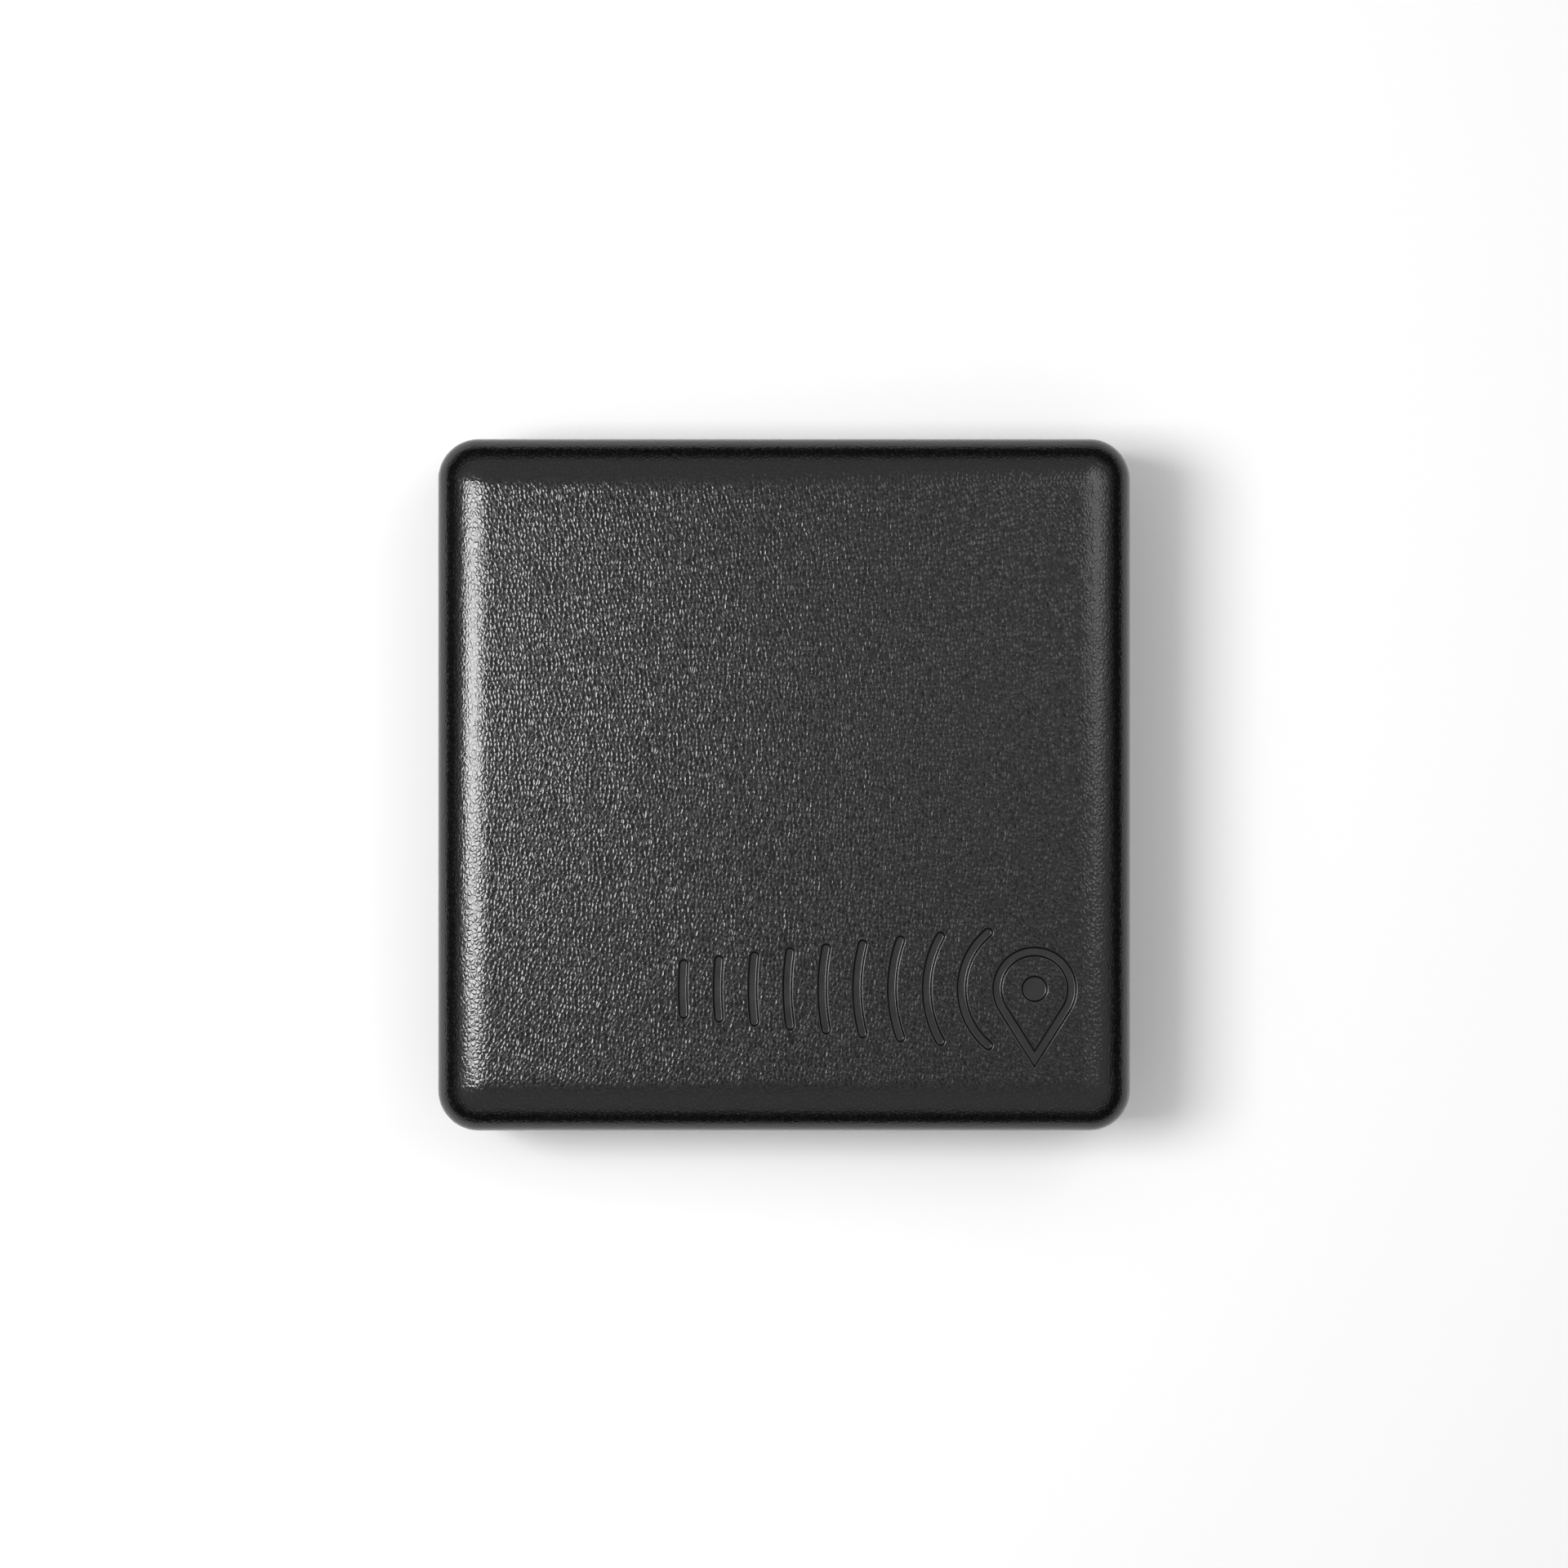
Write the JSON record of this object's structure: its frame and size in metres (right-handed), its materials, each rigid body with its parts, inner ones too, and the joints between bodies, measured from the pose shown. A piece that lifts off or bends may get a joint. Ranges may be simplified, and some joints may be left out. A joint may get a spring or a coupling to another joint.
{
  "type": "bluetooth tracker tag",
  "caption": "Square black tracker tag with rounded edges, a sunk map-pin mark, a side button, a light pipe and a coin-slot battery door over a replaceable cell.",
  "frame": {"origin": "centre of the rear face, in the plane that the tag lies on", "axes": "+Z out of the front face, +X towards the side with the button and light pipe, +Y away from the edge that the mark is near"},
  "size_m": [0.042, 0.042, 0.01],
  "materials": {
    "black_plastic": "moulded black plastic with a fine leather-like grain",
    "door_plastic": "moulded black plastic with a fine matt texture",
    "button_rubber": "matt black rubber",
    "seal_silicone": "smooth red silicone",
    "cell_steel": "nickel-plated pressed steel",
    "cell_gasket_nylon": "grey nylon",
    "black_screw_steel": "blackened steel",
    "gold_plated_contact": "gold-plated spring metal",
    "board_laminate": "glass laminate under solder resist",
    "chip_epoxy": "moulded black epoxy",
    "crystal_steel": "plated metal lid",
    "capacitor_ceramic": "unglazed tan ceramic",
    "antenna_ceramic": "white ceramic",
    "white_plastic": "white plastic",
    "clear_plastic": "polished clear plastic",
    "sounder_brass": "thin rolled brass",
    "piezo_ceramic": "silvered piezo ceramic",
    "adhesive_foam": "thin black foam tape"
  },
  "bodies": {
    "case": {"front_cover": "black_plastic", "rear_cover": "black_plastic", "perimeter_seal": "seal_silicone", "case_screw_1": "black_screw_steel", "case_screw_2": "black_screw_steel", "case_screw_3": "black_screw_steel", "case_screw_4": "black_screw_steel", "coin_cell_can": "cell_steel", "coin_cell_gasket": "cell_gasket_nylon", "coin_cell_cap": "cell_steel", "cell_contact_negative": "gold_plated_contact", "cell_contact_positive": "gold_plated_contact", "circuit_board": "board_laminate", "radio_chip": "chip_epoxy", "radio_crystal": "crystal_steel", "clock_crystal": "crystal_steel", "motion_sensor": "chip_epoxy", "sounder_driver": "chip_epoxy", "boost_coil": "chip_epoxy", "bulk_capacitor": "capacitor_ceramic", "chip_antenna": "antenna_ceramic", "small_capacitor_1": "capacitor_ceramic", "small_capacitor_2": "capacitor_ceramic", "small_capacitor_3": "capacitor_ceramic", "small_capacitor_4": "capacitor_ceramic", "small_capacitor_5": "capacitor_ceramic", "small_capacitor_6": "capacitor_ceramic", "status_led": "white_plastic", "light_pipe": "clear_plastic", "sounder_plate": "sounder_brass", "sounder_ceramic": "piezo_ceramic", "sounder_adhesive": "adhesive_foam", "sounder_spring_plate": "gold_plated_contact", "sounder_spring_ceramic": "gold_plated_contact", "switch_body": "white_plastic"},
    "door_seal": {"door_o_ring": "seal_silicone"},
    "door": {"battery_door": "door_plastic"},
    "button": {"side_button": "button_rubber", "switch_plunger": "chip_epoxy"}
  },
  "joints": [
    {"name": "battery_door_lift", "type": "slide", "parent": "case", "child": "door_seal", "axis": [0, 0, -1], "range_m": [0, 0.0041]},
    {"name": "battery_door_turn", "type": "hinge", "parent": "door_seal", "child": "door", "pos_m": [0, 0, 0], "axis": [0, 0, -1], "range_deg": [0, 120]},
    {"name": "button_press", "type": "slide", "parent": "case", "child": "button", "axis": [-1, 0, 0], "range_m": [0, 0.0003], "stiffness_N_per_m": 3000}
  ],
  "couplings": [
    {"joint": "battery_door_lift", "follows": "battery_door_turn", "m_per_rad": 0.0019099}
  ]
}
